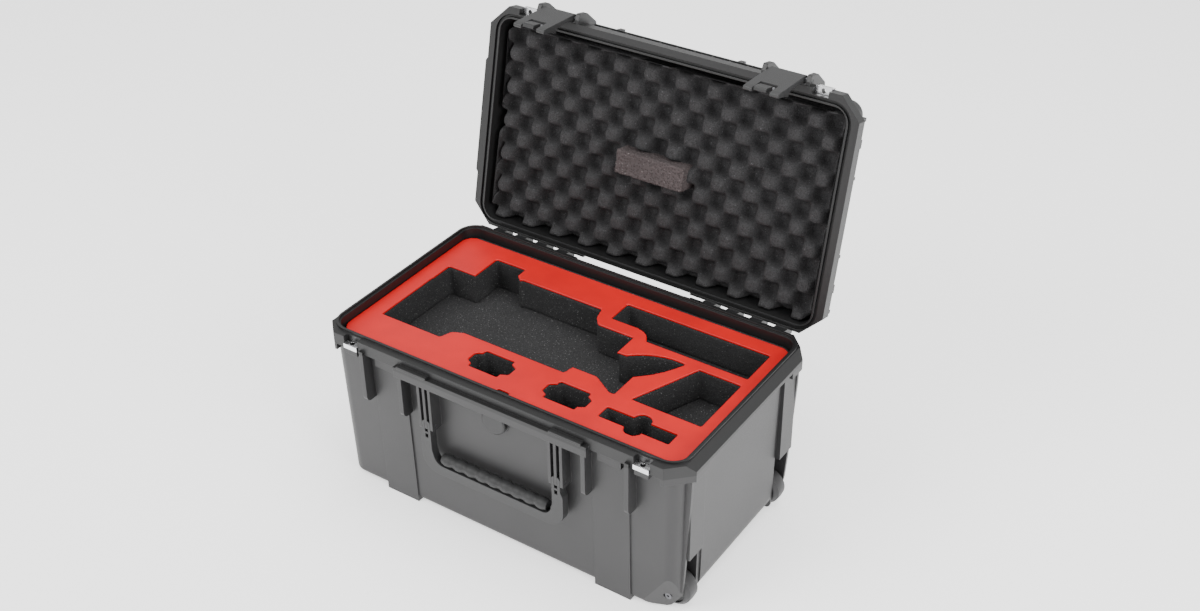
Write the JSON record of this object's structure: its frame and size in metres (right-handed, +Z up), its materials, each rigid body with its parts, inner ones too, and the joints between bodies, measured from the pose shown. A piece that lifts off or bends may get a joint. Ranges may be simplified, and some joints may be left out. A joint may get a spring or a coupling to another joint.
{
  "type": "wheeled transport case",
  "caption": "Wheeled moulded transport case with a hinged lid, trigger latches, drop handle, cut foam insert and egg-crate lid foam.",
  "frame": {"origin": "middle of the underside skid, on the floor under the centre of the base", "axes": "+X along the case towards the wheels, +Y towards the lid hinge, +Z up; the carry handle is on the -Y wall"},
  "size_m": [0.597, 0.4841, 0.6024],
  "materials": {
    "shell": "fine moulded texture",
    "latch_plastic": "satin moulded",
    "trim_plastic": "satin moulded",
    "foam": "open-cell foam",
    "red_foam": "closed-cell foam skin",
    "seal": "matte",
    "grip_rubber": "matte",
    "tyre": "satin",
    "steel": "brushed",
    "bright_steel": "polished",
    "tube_aluminium": "satin anodised",
    "bush_plastic": "plain"
  },
  "bodies": {
    "base": {"base_shell": "shell", "foam_floor_layer": "foam", "foam_middle_layer": "foam", "foam_top_layer": "foam", "red_top_sheet": "red_foam", "hinge_pins": "steel", "base_padlock_plates": "bright_steel", "vent_seal": "seal", "vent_body": "trim_plastic", "vent_cap": "trim_plastic", "vent_nut": "trim_plastic", "handle_pins": "steel", "wheel_axles": "steel", "axle_nuts": "steel", "pull_sleeves": "tube_aluminium", "pull_bezel": "trim_plastic", "bezel_screws": "steel"},
    "lid": {"lid_shell": "shell", "lid_gasket": "seal", "lid_foam": "foam", "lid_foam_block": "foam", "lid_padlock_plates": "bright_steel", "latch_pins": "steel"},
    "left_latch": {"latch_left": "latch_plastic", "trigger_pin_left": "steel", "trigger_spring_left": "steel"},
    "right_latch": {"latch_right": "latch_plastic", "trigger_pin_right": "steel", "trigger_spring_right": "steel"},
    "left_trigger": {"trigger_left": "trim_plastic"},
    "right_trigger": {"trigger_right": "trim_plastic"},
    "carry_handle": {"handle_frame": "latch_plastic", "handle_grip": "grip_rubber"},
    "front_wheel": {"wheel_tyre_front": "tyre", "wheel_hub_front": "trim_plastic", "wheel_bushing_front": "bush_plastic"},
    "back_wheel": {"wheel_tyre_back": "tyre", "wheel_hub_back": "trim_plastic", "wheel_bushing_back": "bush_plastic"},
    "pull_mid_stage": {"pull_mid_tubes": "tube_aluminium"},
    "pull_slim_stage": {"pull_slim_tubes": "tube_aluminium", "pull_grip": "latch_plastic"},
    "pull_release": {"pull_button": "trim_plastic"}
  },
  "joints": [
    {"name": "lid_hinge", "type": "hinge", "parent": "base", "child": "lid", "pos_m": [0, 0.171, 0.255], "axis": [1, 0, 0], "range_deg": [0, 103]},
    {"name": "left_latch_hinge", "type": "hinge", "parent": "lid", "child": "left_latch", "pos_m": [-0.18325, 0.26572, 0.59193], "axis": [-1, 0, 0], "range_deg": [0, 110]},
    {"name": "left_trigger_hinge", "type": "hinge", "parent": "left_latch", "child": "left_trigger", "pos_m": [-0.18325, 0.20922, 0.59615], "axis": [1, 0, 0], "range_deg": [0, 12], "stiffness_Nm_per_rad": 0.1},
    {"name": "right_latch_hinge", "type": "hinge", "parent": "lid", "child": "right_latch", "pos_m": [0.18325, 0.26572, 0.59193], "axis": [-1, 0, 0], "range_deg": [0, 110]},
    {"name": "right_trigger_hinge", "type": "hinge", "parent": "right_latch", "child": "right_trigger", "pos_m": [0.18325, 0.20922, 0.59615], "axis": [1, 0, 0], "range_deg": [0, 12], "stiffness_Nm_per_rad": 0.1},
    {"name": "carry_handle_hinge", "type": "hinge", "parent": "base", "child": "carry_handle", "pos_m": [0, -0.171, 0.173], "axis": [-1, 0, 0], "range_deg": [0, 95]},
    {"name": "front_wheel_axle", "type": "hinge", "parent": "base", "child": "front_wheel", "pos_m": [0.262, -0.121, 0.027], "axis": [0, 1, 0], "continuous": true},
    {"name": "back_wheel_axle", "type": "hinge", "parent": "base", "child": "back_wheel", "pos_m": [0.262, 0.121, 0.027], "axis": [0, 1, 0], "continuous": true},
    {"name": "pull_mid_slide", "type": "slide", "parent": "base", "child": "pull_mid_stage", "axis": [-1, 0, 0], "range_m": [0, 0.23]},
    {"name": "pull_slim_slide", "type": "slide", "parent": "pull_mid_stage", "child": "pull_slim_stage", "axis": [-1, 0, 0], "range_m": [0, 0.23]},
    {"name": "pull_button_slide", "type": "slide", "parent": "pull_slim_stage", "child": "pull_release", "axis": [0, 0, -1], "range_m": [0, 0.002], "stiffness_N_per_m": 300}
  ],
  "couplings": [
    {"joint": "pull_mid_slide", "follows": "pull_slim_slide", "ratio": 1}
  ]
}
